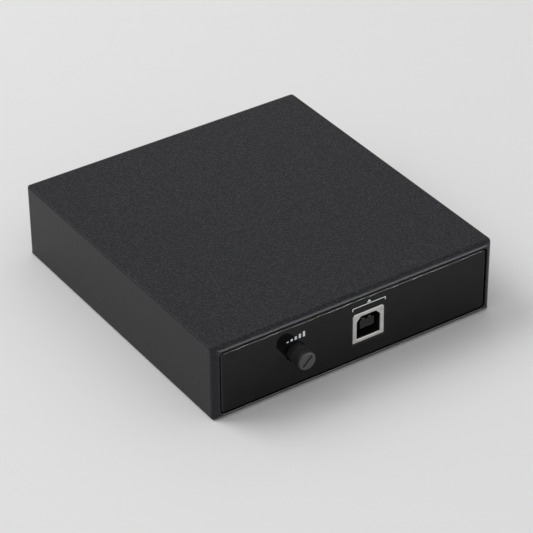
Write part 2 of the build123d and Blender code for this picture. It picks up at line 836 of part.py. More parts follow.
# ---------------------------------------------------------------- the circuit board and its parts
def on_board(place):
    """A place given from the board's middle."""
    return place[0], board_mid_y + place[1]


def chip_block(place, size, lift):
    x, y = on_board(place)
    half_x, half_y = size[0] / 2, size[1] / 2
    z0 = board_z + lift
    return block(x - half_x, x + half_x, y - half_y, y + half_y, z0, z0 + size[2])


def pair_places(place, pitch):
    """Two leads side by side in x."""
    x, y = on_board(place)
    return [(x - pitch / 2, y), (x + pitch / 2, y)]


def amplifier_pin_places(place):
    x, y = on_board(place)
    middle = (amplifier_pins_a_side - 1) / 2
    steps = [(n - middle) * amplifier_pin_pitch for n in range(amplifier_pins_a_side)]
    return [(x + step, y + way * amplifier_row_gap / 2) for step in steps for way in (-1, 1)]


def make_can(place):
    x, y = on_board(place)
    can = rod_z(x, y, can_r, board_z, board_z + can_height)
    can = fillet(can.edges().sort_by(Axis.Z)[-1], can_r / 8)
    for spot in pair_places(place, can_lead_pitch):
        can += lead(*spot, board_z + 1)
    return can


def make_film_capacitor(place):
    box = chip_block(place, film_size, 0)
    for spot in pair_places(place, film_lead_pitch):
        box += lead(*spot, board_z + 1)
    return box


def make_amplifier(place):
    chip = chip_block(place, amplifier_size, amplifier_lift)
    shoulder_z = board_z + amplifier_lift + amplifier_size[2] / 2
    x, y = on_board(place)
    for pin_x, pin_y in amplifier_pin_places(place):
        chip += lead(pin_x, pin_y, shoulder_z)
        y0, y1 = sorted((y, pin_y))
        chip += block(pin_x - lead_r, pin_x + lead_r, y0, y1, shoulder_z - lead_r, shoulder_z)
    return chip


def make_codec():
    chip = chip_block(codec_place, codec_size, 0)
    middle = (codec_pins_a_side - 1) / 2
    reach = (codec_size[1] + codec_pin_size[1]) / 2
    for n in range(codec_pins_a_side):
        for way in (-1, 1):
            spot = (codec_place[0] + (n - middle) * codec_pin_pitch, codec_place[1] + way * reach)
            chip += chip_block(spot, codec_pin_size, 0)
    return chip


def make_crystal():
    x, y = on_board(crystal_place)
    outline = SlotOverall(crystal_size[0], crystal_size[1])
    can = extrude(Plane.XY.offset(board_z) * Pos(x, y) * outline, crystal_size[2])
    for spot in pair_places(crystal_place, crystal_lead_pitch):
        can += lead(*spot, board_z + 1)
    return can


def make_regulator():
    tab_y = regulator_place[1] + (regulator_size[1] + regulator_tab[1]) / 2
    tab = chip_block((regulator_place[0], tab_y), regulator_tab, 0)
    return chip_block(regulator_place, regulator_size, 0) + tab


def resistor_places():
    return [(x + n * resistor_pitch, y) for x, y, count in resistor_rows for n in range(count)]


def all_lead_places():
    places = pot_terminal_places() + pot_lug_places() + usb_lug_places() + [tag_leg_place()]
    for x, z, way in usb_contact_places():
        places.append(usb_pin_place(x, way))
    for x in phono_sockets.values():
        places += phono_leg_places(x)
    places += [(jack_x, jack_pin_leg_y), (jack_spring_x, jack_spring_leg_y)]
    for place in can_places:
        places += pair_places(place, can_lead_pitch)
    for place in film_places:
        places += pair_places(place, film_lead_pitch)
    for place in amplifier_places:
        places += amplifier_pin_places(place)
    return places + pair_places(crystal_place, crystal_lead_pitch)


def make_board():
    board = block(-board_x, board_x, board_front_y, board_back_y, board_under_z, board_z)
    for x, y in standoff_places:
        board -= rod_z(x, y, screw_r + screw_play, board_under_z - 1, board_z + 1)
    return board - [lead_hole(x, y) for x, y in all_lead_places()]


# ---------------------------------------------------------------- writing the nodes
def group(solids):
    """Separate solids of one kind in one node."""
    return Compound(children=[solid for solid in solids])


nodes = {
    "top_cover": make_top_cover(),
    "base_tray": make_base_tray(),
    "front_panel": make_front_panel(),
    "panel_film": make_panel_film(),
    "front_bracket": make_front_bracket(),
    "rear_panel": make_rear_panel(),
    "case_screws": group([make_case_screw(x, y) for x, y in case_screw_places]),
    "clinch_nuts": group([make_clinch_nut(x, y) for x, y in case_screw_places]),
    "board_standoffs": group([make_standoff(x, y) for x, y in standoff_places]),
    "board_screws": group([make_board_screw(x, y) for x, y in standoff_places]),
    "socket_screws": group([make_tapping_screw(x) for x in (input_x, output_x)]),
    "level_knob": make_level_knob(),
    "level_shaft": make_level_shaft(),
    "level_wiper": make_level_wiper(),
    "level_pot_bush": make_pot_bush(),
    "level_pot_body": make_pot_body(),
    "level_pot_track": make_pot_track(),
    "level_pot_terminals": group([lead(*place, knob_z - pot_above) for place in pot_terminal_places()]),
    "usb_socket_shell": make_usb_shell(),
    "usb_socket_insulator": make_usb_insulator(),
    "usb_contacts": group([make_usb_contact(*place) for place in usb_contact_places()]),
    "input_block": make_phono_block(input_x),
    "output_block": make_phono_block(output_x),
    "ground_post": make_ground_post(),
    "ground_seat_nut": hex_nut(seat_nut_y, seat_nut_y + seat_nut_height),
    "ground_lock_nut": hex_nut(tag_y - lock_nut_height, tag_y),
    "ground_tag": make_ground_tag(),
    "ground_clamp_washer": make_clamp_washer(),
    "ground_thumb_nut": make_thumb_nut(),
    "power_jack_body": make_jack_body(),
    "power_jack_pin": make_jack_pin(),
    "power_jack_spring": make_jack_spring(),
    "circuit_board": make_board(),
    "electrolytic_capacitors": group([make_can(place) for place in can_places]),
    "film_capacitors": group([make_film_capacitor(place) for place in film_places]),
    "amplifier_chips": group([make_amplifier(place) for place in amplifier_places]),
    "codec_chip": make_codec(),
    "crystal_can": make_crystal(),
    "voltage_regulator": make_regulator(),
    "surface_resistors": group([chip_block(place, resistor_size, 0) for place in resistor_places()]),
}
for socket, socket_x in phono_sockets.items():
    nodes[socket + "_barrel"] = make_barrel(socket_x)
    nodes[socket + "_insulator"] = make_phono_insulator(socket_x)
    nodes[socket + "_contact"] = make_phono_contact(socket_x)
for end, foot_y in (("front", front_y + foot_from_end), ("rear", rear_y - foot_from_end)):
    for side, foot_x in (("left", -side_x + foot_from_side), ("right", side_x - foot_from_side)):
        nodes["foot_" + end + "_" + side] = make_foot(foot_x, foot_y)

os.makedirs("parts", exist_ok=True)
for node, shape in nodes.items():
    export_step(shape, "parts/" + node + ".step")
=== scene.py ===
import json
import math

import bmesh
import bpy
from mathutils import Matrix, Vector


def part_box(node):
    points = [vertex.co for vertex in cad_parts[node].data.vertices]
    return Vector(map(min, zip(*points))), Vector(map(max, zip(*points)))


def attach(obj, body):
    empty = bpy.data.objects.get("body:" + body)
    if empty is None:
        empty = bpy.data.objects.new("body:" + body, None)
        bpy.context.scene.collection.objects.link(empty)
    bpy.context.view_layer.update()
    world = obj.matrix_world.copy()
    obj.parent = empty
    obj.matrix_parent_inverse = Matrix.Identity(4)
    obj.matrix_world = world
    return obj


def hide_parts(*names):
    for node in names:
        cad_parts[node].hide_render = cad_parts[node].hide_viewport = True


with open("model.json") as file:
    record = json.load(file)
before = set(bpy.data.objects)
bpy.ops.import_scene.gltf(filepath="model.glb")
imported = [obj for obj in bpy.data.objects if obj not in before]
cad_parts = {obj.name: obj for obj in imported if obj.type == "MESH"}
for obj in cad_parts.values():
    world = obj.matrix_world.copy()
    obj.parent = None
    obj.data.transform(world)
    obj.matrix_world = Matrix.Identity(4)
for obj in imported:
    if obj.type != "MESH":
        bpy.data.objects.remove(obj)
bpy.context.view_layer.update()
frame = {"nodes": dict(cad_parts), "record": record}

MM = 0.001
MERGE = 2e-7  # corners nearer than this, in metres, become one


# ---------------------------------------------------------------- sizes, in mm, as in the CAD
def node_box(node):
    low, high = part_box(node)
    return low / MM, high / MM


def middle_x(node):
    low, high = node_box(node)
    return (low.x + high.x) / 2


case_low, case_high = node_box("top_cover")
front_y, rear_y = case_low.y, case_high.y
side_x = case_high.x
base_z, top_z = case_low.z, case_high.z
sheet = 1.2
inner_x = side_x - sheet
floor_z = base_z + sheet
top_roll, side_roll, base_roll = 1.85, 2.3, 1.3  # how far the lips roll in
seam = 0.15  # between the cover and the base
edge_round, fold_round = 0.7, 0.15  # the long upper edges outside, and all the other corners
panel_corner, rim_gap = 1.1, 0.6
rim_corner = panel_corner + rim_gap
rim_low = base_z + base_roll

panel_low, panel_high = node_box("front_panel")
panel_front, panel_back = panel_low.y, panel_high.y

knob_low, knob_high = node_box("level_knob")
knob_x, knob_z = (knob_low.x + knob_high.x) / 2, (knob_low.z + knob_high.z) / 2
knob_r = (knob_high.x - knob_low.x) / 2
knob_cap, knob_tail = knob_low.y, knob_high.y
slot_turn = math.radians(43)

usb_x = middle_x("usb_socket_insulator")
usb_wide, usb_tall = 12.04, 10.93
usb_z = node_box("usb_socket_shell")[1].z - usb_tall / 2
usb_face, usb_back = node_box("usb_socket_shell")[0].y, node_box("usb_socket_shell")[1].y
mouth_wide, mouth_tall = 8.8, 8.1
tongue_wide, tongue_tall = 5.5, 3.0
tongue_z = usb_z + 0.3

rear_low, rear_high = node_box("rear_panel")
rear_face = rear_high.y
sockets = ("input_left", "input_right", "output_left", "output_right")
socket_blocks = ("input_block", "output_block")
socket_z = 14.5
block_screw_z = socket_z + 3.3
post_x = middle_x("ground_post")
jack_low, jack_high = node_box("power_jack_body")
jack_x = (jack_low.x + jack_high.x) / 2


# ---------------------------------------------------------------- mesh helpers, in mm
def link(name, mesh):
    piece = bpy.data.objects.new(name, mesh)
    bpy.context.scene.collection.objects.link(piece)
    return piece


def solid(name, points, faces):
    """A closed mesh from points in mm, with its faces turned outwards."""
    mesh = bpy.data.meshes.new(name)
    mesh.from_pydata([(x * MM, y * MM, z * MM) for x, y, z in points], [], faces)
    bm = bmesh.new()
    bm.from_mesh(mesh)
    bmesh.ops.remove_doubles(bm, verts=bm.verts, dist=MERGE)
    bmesh.ops.recalc_face_normals(bm, faces=bm.faces)
    bm.to_mesh(mesh)
    bm.free()
    return link(name, mesh)


def loft(name, loops, ring=False):
    """Skin over loops of equally many points. ring joins the last loop to the first. Otherwise both ends
    are capped."""
    count = len(loops[0])
    points = [p for loop in loops for p in loop]
    faces = []
    for i in range(len(loops) if ring else len(loops) - 1):
        a, b = i * count, (i + 1) % len(loops) * count
        for j in range(count):
            k = (j + 1) % count
            faces.append((a + j, a + k, b + k, b + j))
    if not ring:
        faces.append(tuple(range(count)))
        faces.append(tuple(range((len(loops) - 1) * count, len(loops) * count)))
    return solid(name, points, faces)


def lathe(name, profile, x, z, count=96, shape=None, upright=False, ring=False, turn=0.0):
    """A turned piece on an axis along y through (x, z), or along z through (x, y) when upright. profile has
    rows of a radius and a place on the axis. shape(angle, radius, row) may change the radius. turn shifts
    the facets by a share of one, so that a cutter's facets don't meet those of what it cuts."""
    loops = []
    for row, (r, t) in enumerate(profile):
        loop = []
        for n in range(count):
            a = 2 * math.pi * (n + turn) / count
            s = shape(a, r, row) if shape else r
            u, v = x + s * math.cos(a), z + s * math.sin(a)
            loop.append((u, v, t) if upright else (u, t, v))
        loops.append(loop)
    return loft(name, loops, ring)


def filled(profile):
    """A profile closed on the axis at both of its ends."""
    return [(0, profile[0][1]), *profile, (0, profile[-1][1])]


def shifted(start, profile):
    """A profile whose places are measured from start."""
    return [(r, start + t) for r, t in profile]


def quarter(steps, first=0):
    """Sine and cosine of even steps round a quarter turn."""
    angles = [math.pi / 2 * n / steps for n in range(first, steps + 1)]
    return [(math.sin(a), math.cos(a)) for a in angles]


def fluted(rows, count, outer, flute_r):
    """A shape for lathe: round flutes in the radius outer. Each row is cut by the share that is its third
    number."""
    def shape(angle, radius, row):
        off = (angle * count / (2 * math.pi) + 0.5) % 1 - 0.5
        across = off * 2 * math.pi / count * outer
        return radius - rows[row][2] * math.sqrt(max(0.0, flute_r ** 2 - across ** 2))
    return shape


def round_outline(corners, steps):
    """A closed outline of (x, z, radius) corners, each rounded by an arc of steps pieces."""
    outline = []
    for i, (x, z, r) in enumerate(corners):
        here = Vector((x, z))
        before = (Vector(corners[i - 1][:2]) - here).normalized()
        after = (Vector(corners[(i + 1) % len(corners)][:2]) - here).normalized()
        half = before.angle(after) / 2
        centre = here + (before + after).normalized() * (r / math.sin(half))
        start = here + before * (r / math.tan(half)) - centre
        end = here + after * (r / math.tan(half)) - centre
        turn = start.angle_signed(end)
        for n in range(steps + 1):
            a = -turn * n / steps
            c, s = math.cos(a), math.sin(a)
            outline.append((centre.x + start.x * c - start.y * s, centre.y + start.x * s + start.y * c))
    return outline


def at_y(outline, y):
    return [(x, y, z) for x, z in outline]


def rectangle(x0, x1, z0, z1, r):
    return [(x0, z0, r), (x1, z0, r), (x1, z1, r), (x0, z1, r)]


def stack(outline, rows, start=0.0):
    """Loops for a loft: outline(grow) at start + y, for each (grow, y) of rows."""
    return [at_y(outline(grow), start + y) for grow, y in rows]


def brick(name, x0, x1, y0, y1, z0, z1):
    return loft(name, [at_y([(x0, z0), (x1, z0), (x1, z1), (x0, z1)], y) for y in (y0, y1)])


def bake(piece):
    """Applies the piece's modifiers."""
    bpy.context.view_layer.update()
    view = bpy.context.evaluated_depsgraph_get()
    mesh = bpy.data.meshes.new_from_object(piece.evaluated_get(view))
    piece.modifiers.clear()
    piece.data = mesh
    return mesh


def combine(piece, tools, operation="DIFFERENCE"):
    """Cuts the tools from the piece, or does another boolean with them, and cleans the result."""
    for tool in tools:
        change = piece.modifiers.new("change", "BOOLEAN")
        change.operation = operation
        change.solver = "EXACT"
        change.object = tool
    mesh = bake(piece)
    bm = bmesh.new()
    bm.from_mesh(mesh)
    bmesh.ops.remove_doubles(bm, verts=bm.verts, dist=MERGE)
    bmesh.ops.dissolve_degenerate(bm, edges=bm.edges, dist=MERGE)
    bm.to_mesh(mesh)
    bm.free()
    for tool in tools:
        bpy.data.objects.remove(tool)


def joined(name, pieces):
    """Unites the pieces, one after another, into one of that name."""
    whole = None
    for piece in pieces:
        if whole is None:
            whole = piece
            whole.name = name
        else:
            combine(whole, [piece], "UNION")
    return whole


def place(piece, body, slot, *nodes, angle=32, finish=None):
    """Smooth shading, material, body and the CAD nodes that the piece stands for. Edges sharper than angle,
    in degrees, stay sharp. finish is a material other than the slot's."""
    piece.data.shade_smooth()
    mesh = bake(piece)
    mesh.set_sharp_from_angle(angle=math.radians(angle))
    weigh = piece.modifiers.new("weigh", "WEIGHTED_NORMAL")
    weigh.keep_sharp = True
    mesh.materials.clear()
    mesh.materials.append(finish or materials[slot])
    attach(piece, body)
    if nodes:
        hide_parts(*nodes)


# ---------------------------------------------------------------- materials
class Shader:
    """A material and short ways to add to its node tree. Patterns are in metres, on the object's own
    coordinates."""

    def __init__(self, name, color, roughness, metallic=0.0, specular=0.5):
        self.material = bpy.data.materials.new(name)
        self.material.use_nodes = True
        self.tree = self.material.node_tree
        self.bsdf = self.tree.nodes["Principled BSDF"]
        self.bsdf.inputs["Base Color"].default_value = (*color, 1)
        self.bsdf.inputs["Roughness"].default_value = roughness
        self.bsdf.inputs["Metallic"].default_value = metallic
        self.bsdf.inputs["Specular IOR Level"].default_value = specular
        self.where = self.add("ShaderNodeTexCoord").outputs["Object"]

    def add(self, kind, **values):
        node = self.tree.nodes.new(kind)
        for key, value in values.items():
            setattr(node, key, value)
        return node

    def join(self, source, target):
        self.tree.links.new(source, target)

    def noise(self, scale, detail, stretch=None):
        node = self.add("ShaderNodeTexNoise")
        node.inputs["Scale"].default_value = scale
        node.inputs["Detail"].default_value = detail
        source = self.where
        if stretch:
            moved = self.add("ShaderNodeMapping")
            moved.inputs["Scale"].default_value = stretch
            self.join(source, moved.inputs["Vector"])
            source = moved.outputs["Vector"]
        self.join(source, node.inputs["Vector"])
        return node.outputs["Fac"]

    def facing(self, axis):
        """How squarely the surface faces along an axis, from 0 to 1."""
        parts = self.add("ShaderNodeSeparateXYZ")
        self.join(self.add("ShaderNodeNewGeometry").outputs["Normal"], parts.inputs[0])
        return self.math("ABSOLUTE", parts.outputs[axis])

    def spread(self, value, low, high, out_low, out_high):
        """The value's range from low to high, spread over out_low to out_high."""
        node = self.add("ShaderNodeMapRange")
        for key, number in (("From Min", low), ("From Max", high), ("To Min", out_low), ("To Max", out_high)):
            node.inputs[key].default_value = number
        self.join(value, node.inputs["Value"])
        return node.outputs["Result"]

    def math(self, operation, a, b=None):
        node = self.add("ShaderNodeMath", operation=operation)
        for value, target in ((a, node.inputs[0]), (b, node.inputs[1])):
            if value is None:
                continue
            if isinstance(value, (int, float)):
                target.default_value = value
            else:
                self.join(value, target)
        return node.outputs[0]

    def blend(self, factor, first, second):
        """A mix of two colours, by a factor from 0 to 1."""
        node = self.add("ShaderNodeMix", data_type="RGBA")
        self.join(factor, node.inputs[0])
        for value, target in ((first, node.inputs[6]), (second, node.inputs[7])):
            if isinstance(value, tuple):
                target.default_value = (*value, 1)
            else:
                self.join(value, target)
        return node.outputs[2]

    def color(self, value):
        self.join(value, self.bsdf.inputs["Base Color"])

    def rough(self, value):
        self.join(value, self.bsdf.inputs["Roughness"])

    def bump(self, height, distance, strength):
        """A bump of that distance in mm."""
        node = self.add("ShaderNodeBump")
        node.inputs["Distance"].default_value = distance * MM
        if isinstance(strength, float):
            node.inputs["Strength"].default_value = strength
        else:
            self.join(strength, node.inputs["Strength"])
        self.join(height, node.inputs["Height"])
        return node.outputs["Normal"]

    def normal(self, value):
        self.join(value, self.bsdf.inputs["Normal"])
        return self.material


def powder_coat():
    """Fine-textured black powder coat: coarse on flat tops, closer to satin on upright faces."""
    s = Shader("black_powder_coat", (0.0085, 0.0088, 0.0098), 0.5, specular=0.24)
    grain = s.noise(1900, 1.0)
    fine = s.noise(4200, 1.0)
    tint = s.noise(1200, 1.0)
    flat = s.facing("Z")
    coarse = s.spread(flat, 0.2, 0.9, 0.25, 0.9)
    dark = s.blend(s.spread(tint, 0.4, 0.62, 0, 1), (0.0046, 0.0046, 0.0052), (0.0092, 0.0097, 0.0142))
    speck = s.math("MULTIPLY", s.spread(grain, 0.5, 0.68, 0, 1), coarse)
    s.color(s.blend(speck, dark, (0.029, 0.0302, 0.0375)))
    swing = s.math("MULTIPLY", s.spread(grain, 0.3, 0.7, -0.09, 0.09), coarse)
    s.rough(s.math("SUBTRACT", s.spread(flat, 0.2, 0.9, 0.38, 0.47), swing))
    height = s.math("ADD", grain, s.math("MULTIPLY", fine, 0.35))
    return s.normal(s.bump(height, 0.16, coarse))


def painted_steel():
    """Thin black paint on the base: a soft orange-peel grain and a faint cloudiness."""
    s = Shader("black_painted_steel", (0.010, 0.010, 0.011), 0.45, specular=0.4)
    grain = s.noise(1800, 2.0)
    cloud = s.noise(60, 2.0)
    s.color(s.blend(s.spread(cloud, 0.35, 0.65, 0, 1), (0.0085, 0.0085, 0.009), (0.0135, 0.0135, 0.015)))
    s.rough(s.spread(grain, 0.3, 0.7, 0.38, 0.55))
    return s.normal(s.bump(grain, 0.03, 0.5))


def gloss_acrylic():
    """Polished black acrylic: deep black, nearly mirror-smooth, with the faintest waviness and hairlines.
    Its edges, which face away from y, are satin and paler: partly the grey of a cut edge, partly a painted
    highlight."""
    s = Shader("gloss_black_acrylic", (0.0032, 0.0032, 0.0036), 0.045, specular=0.2)
    wave = s.noise(28, 1.0)
    haze = s.noise(160, 3.0)
    lines = s.noise(700, 1.0, stretch=(0.25, 1.0, 1.6))
    edge = s.spread(s.facing("Y"), 0.8, 0.97, 1, 0)
    face = s.blend(s.spread(haze, 0.35, 0.65, 0, 1), (0.0028, 0.0028, 0.0031), (0.0042, 0.0042, 0.0048))
    # Painted highlight: the edges' colour is set about ten times the face's, so the rounded bevel reads as a
    # bright line.
    s.color(s.blend(edge, face, (0.034, 0.034, 0.036)))
    gloss = s.math("ADD", s.spread(haze, 0.3, 0.7, 0.03, 0.055), s.spread(lines, 0.62, 0.75, 0.0, 0.03))
    s.rough(s.math("ADD", gloss, s.math("MULTIPLY", edge, 0.16)))
    return s.normal(s.bump(wave, 0.02, 0.25))


def moulded(name, color, roughness, grain_size=1400, depth=0.012, specular=0.45, lift=1.35):
    """Moulded plastic: a slight uneven tone, an eggshell grain and soft changes of gloss."""
    s = Shader(name, color, roughness, specular=specular)
    grain = s.noise(grain_size, 2.0)
    cloud = s.noise(140, 2.0)
    low = tuple(c * 0.88 for c in color)
    high = tuple(min(1.0, c * lift) for c in color)
    s.color(s.blend(s.spread(cloud, 0.32, 0.68, 0, 1), low, high))
    gloss = s.spread(cloud, 0.3, 0.7, roughness - 0.04, roughness + 0.03)
    s.rough(s.math("ADD", gloss, s.spread(grain, 0.3, 0.7, 0, 0.07)))
    return s.normal(s.bump(grain, depth, 0.7))


def plated(name, color, roughness):
    """Plated metal with the fine rings that turning leaves round an axis along y, and a slight cloudiness."""
    s = Shader(name, color, roughness, metallic=1.0)
    streak = s.noise(5200, 2.0, stretch=(0.05, 1.0, 0.05))
    cloud = s.noise(260, 2.0)
    low = tuple(c * 0.9 for c in color)
    s.color(s.blend(s.spread(cloud, 0.3, 0.7, 0, 1), low, color))
    rings = s.spread(streak, 0.25, 0.75, roughness - 0.05, roughness + 0.06)
    s.rough(s.math("ADD", rings, s.spread(cloud, 0.3, 0.7, -0.02, 0.03)))
    return s.normal(s.bump(streak, 0.003, 0.5))


def satin_sheet():
    """Nickel-plated drawn sheet: satin, with a fine matt grain and faint dull patches."""
    s = Shader("satin_sheet", (0.38, 0.375, 0.365), 0.5, metallic=1.0)
    grain = s.noise(5200, 2.0)
    cloud = s.noise(420, 2.0)
    s.color(s.blend(s.spread(cloud, 0.3, 0.7, 0, 1), (0.34, 0.335, 0.326), (0.41, 0.405, 0.395)))
    s.rough(s.math("ADD", s.spread(cloud, 0.3, 0.7, 0.45, 0.52), s.spread(grain, 0.3, 0.7, 0.0, 0.06)))
    return s.normal(s.bump(grain, 0.002, 0.5))


def rubber():
    """Matt black rubber with a dusty grain."""
    s = Shader("black_rubber", (0.012, 0.012, 0.012), 0.8, specular=0.3)
    grain = s.noise(2600, 3.0)
    s.color(s.blend(s.noise(300, 2.0), (0.009, 0.009, 0.009), (0.02, 0.02, 0.019)))
    s.rough(s.spread(grain, 0.3, 0.7, 0.72, 0.9))
    return s.normal(s.bump(grain, 0.03, 0.8))


def board():
    """Green solder mask with faint paler runs in a grid under it."""
    s = Shader("green_board", (0.012, 0.09, 0.035), 0.3, specular=0.5)
    grid = s.add("ShaderNodeTexBrick")
    grid.inputs["Scale"].default_value = 330
    grid.inputs["Mortar Size"].default_value = 0.09
    grid.inputs["Color1"].default_value = (0.010, 0.085, 0.032, 1)
    grid.inputs["Color2"].default_value = (0.014, 0.105, 0.040, 1)
    grid.inputs["Mortar"].default_value = (0.022, 0.15, 0.055, 1)
    s.join(s.where, grid.inputs["Vector"])
    cloud = s.noise(120, 2.0)
    s.color(s.blend(s.spread(cloud, 0.35, 0.65, 0, 0.5), grid.outputs["Color"], (0.008, 0.07, 0.026)))
    s.rough(s.spread(cloud, 0.3, 0.7, 0.24, 0.38))
    return s.normal(s.bump(grid.outputs["Fac"], 0.02, 0.5))


def ink():
    """Screen-printed ink: light grey, matt, with slightly uneven cover."""
    s = Shader("printed_ink", (0.46, 0.47, 0.48), 0.6, specular=0.3)
    cover = s.noise(2600, 2.0)
    s.color(s.blend(s.spread(cover, 0.3, 0.6, 0, 1), (0.37, 0.38, 0.39), (0.50, 0.51, 0.52)))
    s.rough(s.spread(cover, 0.3, 0.7, 0.5, 0.7))
    return s.normal(s.bump(cover, 0.004, 0.5))


materials = {
    "black_powder_coat": powder_coat(),
    "black_painted_steel": painted_steel(),
    "gloss_black_acrylic": gloss_acrylic(),
    "adhesive_film": moulded("adhesive_film", (0.42, 0.42, 0.40), 0.6, depth=0.006, lift=1.1),
    "black_rubber": rubber(),
    "black_zinc_steel": plated("black_zinc_steel", (0.085, 0.085, 0.088), 0.34),
    "bright_steel": plated("bright_steel", (0.52, 0.52, 0.53), 0.34),
    "nickel_plate": plated("nickel_plate", (0.50, 0.49, 0.475), 0.27),
    "tin_plate": plated("tin_plate", (0.56, 0.56, 0.57), 0.4),
    "gold_plate": plated("gold_plate", (0.70, 0.56, 0.31), 0.3),
    "black_plastic": moulded("black_plastic", (0.012, 0.012, 0.0125), 0.42),
    "knob_plastic": moulded("knob_plastic", (0.021, 0.021, 0.0225), 0.36, grain_size=2200, depth=0.008),
    "white_plastic": moulded("white_plastic", (0.74, 0.73, 0.70), 0.38, depth=0.006, lift=1.05),
    "red_plastic": moulded("red_plastic", (0.48, 0.018, 0.016), 0.38, depth=0.006, lift=1.15),
    "green_board": board(),
    "brown_laminate": moulded("brown_laminate", (0.22, 0.11, 0.05), 0.6, depth=0.01),
    "red_film_box": moulded("red_film_box", (0.34, 0.035, 0.022), 0.28, depth=0.004),
    "capacitor_sleeve": moulded("capacitor_sleeve", (0.014, 0.018, 0.055), 0.3, depth=0.004),
    "ceramic": moulded("ceramic", (0.05, 0.05, 0.05), 0.55, depth=0.006),
}
ink_material = ink()
shell_material = satin_sheet()
# Painted shade: the USB contacts' gold is a matt plating, darkened well below real gold to stand in for the
# shade in the socket's mouth.
contact_material = plated("dull_shaded_gold", (0.17, 0.15, 0.118), 0.46)
# Painted shade: a darker copy of the black plastic, for the USB socket's tongue and lining, darkened to stand
# in for the shade inside the mouth.
shaded_socket_black = moulded("shaded_socket_black", (0.0055, 0.0055, 0.006), 0.5, specular=0.18)


# ---------------------------------------------------------------- the case
def case_loop(angle, inner, end, lip=None):
    """One loop round the case's sheet, at the front end when end is -1 and at the rear when it is 1. angle is
    how far round the rolled lip it is, 0 on the flat walls and 90 at the rim. lip gives the depth on the
    rim's own cut edge."""
    c, s = math.cos(math.radians(angle)), math.sin(math.radians(angle))

    def inset(roll):
        if lip is not None:
            return roll, lip
        if inner:
            return roll - (roll - sheet) * c, roll - (roll - sheet) * s
        return roll * (1 - c), roll * (1 - s)

    (top_in, top_y), (side_in, side_y), (base_in, base_y) = inset(top_roll), inset(side_roll), inset(base_roll)
    start = fold_round if inner else edge_round
    share = 1.0 if lip is not None else 1 - c
    high_r = start + (rim_corner - start) * share
    low_r = fold_round + (rim_corner - fold_round) * share
    x = side_x - side_in
    z0, z1 = base_z + base_in, top_z - top_in
    corners = (
        (-x + low_r, z0 + low_r, low_r, 180, side_y, base_y),
        (x - low_r, z0 + low_r, low_r, 270, base_y, side_y),
        (x - high_r, z1 - high_r, high_r, 0, side_y, top_y),
        (-x + high_r, z1 - high_r, high_r, 90, top_y, side_y),
    )
    loop, steps = [], 12
    for cx, cz, r, begin, y0, y1 in corners:
        for n in range(steps + 1):
            a = math.radians(begin + 90 * n / steps)
            part = n / steps
            ease = part * part * (3 - 2 * part)
            deep = y0 + (y1 - y0) * ease
            y = front_y + deep if end < 0 else rear_y - deep
            loop.append((cx + r * math.cos(a), y, cz + r * math.sin(a)))
    return loop


def case_sheet(name):
    """The sheet of the whole case, outside and inside, with its lips rolled in at both ends."""
    outer = [6 * n for n in range(15)]
    inner = [90 * n / 8 for n in range(8)]
    lips = (0.10, sheet - 0.08)
    loops = [case_loop(a, False, -1) for a in reversed(outer)]
    loops += [case_loop(a, False, 1) for a in outer]
    loops += [case_loop(90, False, 1, lip) for lip in lips]
    loops += [case_loop(a, True, 1) for a in reversed(inner)]
    loops += [case_loop(a, True, -1) for a in inner]
    loops += [case_loop(90, False, -1, lip) for lip in reversed(lips)]
    return loft(name, loops, ring=True)


def four_places(half, in_x, in_front, in_rear):
    """Four places (x, y): in_x in from the edges at -half and half, and in from the case's two ends."""
    return [(x, y) for x in (-half + in_x, half - in_x) for y in (front_y + in_front, rear_y - in_rear)]


screw_places = four_places(inner_x, 4.5, 31, 31)
flange_places = four_places(side_x, 22.75, 8, 7.8)
standoff_places = four_places(inner_x, 8.5, 16.5, 19.5)
sink_r, screw_hole_r, spigot_r, spigot_gap = 2.42, 1.4, 2.05, 0.03

# The cuts between the cover and the base stand a little off the sheet's own lines, because planes that
# meet exactly leave faulty meshes.
cover_cut_x, cover_cut_z = inner_x + 0.035, rim_low + seam
base_cut_x, base_cut_z = inner_x - seam + 0.02, rim_low + 0.022


def seam_slab(half_x, high):
    """The block that parts the base from the cover."""
    return brick("slab", -half_x, half_x, front_y - 1, rear_y + 1, base_z - 1, high)


def screw_cutter(x, y):
    """A countersunk hole from below."""
    profile = shifted(base_z, [(sink_r, -1), (sink_r, 0.02), (screw_hole_r, 1.08), (screw_hole_r, 4)])
    return lathe("hole", filled(profile), x, y, 40, upright=True)


def spigot_cutter(x, y):
    """A plain hole from below, for a standoff's spigot."""
    r = spigot_r + spigot_gap
    return lathe("hole", filled(shifted(base_z, [(r, -1), (r, 4)])), x, y, 48, upright=True)


def split_large_faces(piece):
    """Cuts faces of more than four corners into even triangles, so that no thin ones lie back to back
    along a cut."""
    bm = bmesh.new()
    bm.from_mesh(piece.data)
    large = [face for face in bm.faces if len(face.verts) > 4]
    bmesh.ops.triangulate(bm, faces=large, quad_method="BEAUTY", ngon_method="BEAUTY")
    bm.to_mesh(piece.data)
    bm.free()


def make_cover():
    """The sheet less the base's part, with four tabs that the base is screwed to."""
    cover = case_sheet("case_cover")
    combine(cover, [seam_slab(cover_cut_x, cover_cut_z)])
    tab_half, tab_in, tab_out = 4, 4.5, 4.7
    tabs = []
    for x, y in screw_places:
        low, high = sorted((x - math.copysign(tab_in, x), x + math.copysign(tab_out, x)))
        tabs.append(brick("tab", low, high, y - tab_half, y + tab_half, floor_z, floor_z + sheet))
    combine(cover, tabs, "UNION")
    combine(cover, [screw_cutter(x, y) for x, y in screw_places])
    split_large_faces(cover)
    place(cover, "case", "black_powder_coat", "top_cover", angle=38)


def make_base():
    """The sheet's part inside the seam, with its screw holes and the holes for the standoffs."""
    base = case_sheet("case_base")
    combine(base, [seam_slab(base_cut_x, base_cut_z)], "INTERSECT")
    holes = [screw_cutter(x, y) for x, y in screw_places + flange_places]
    holes += [spigot_cutter(x, y) for x, y in standoff_places]
    combine(base, holes)
    split_large_faces(base)
    place(base, "case", "black_painted_steel", "base_tray", angle=38)


make_cover()
make_base()


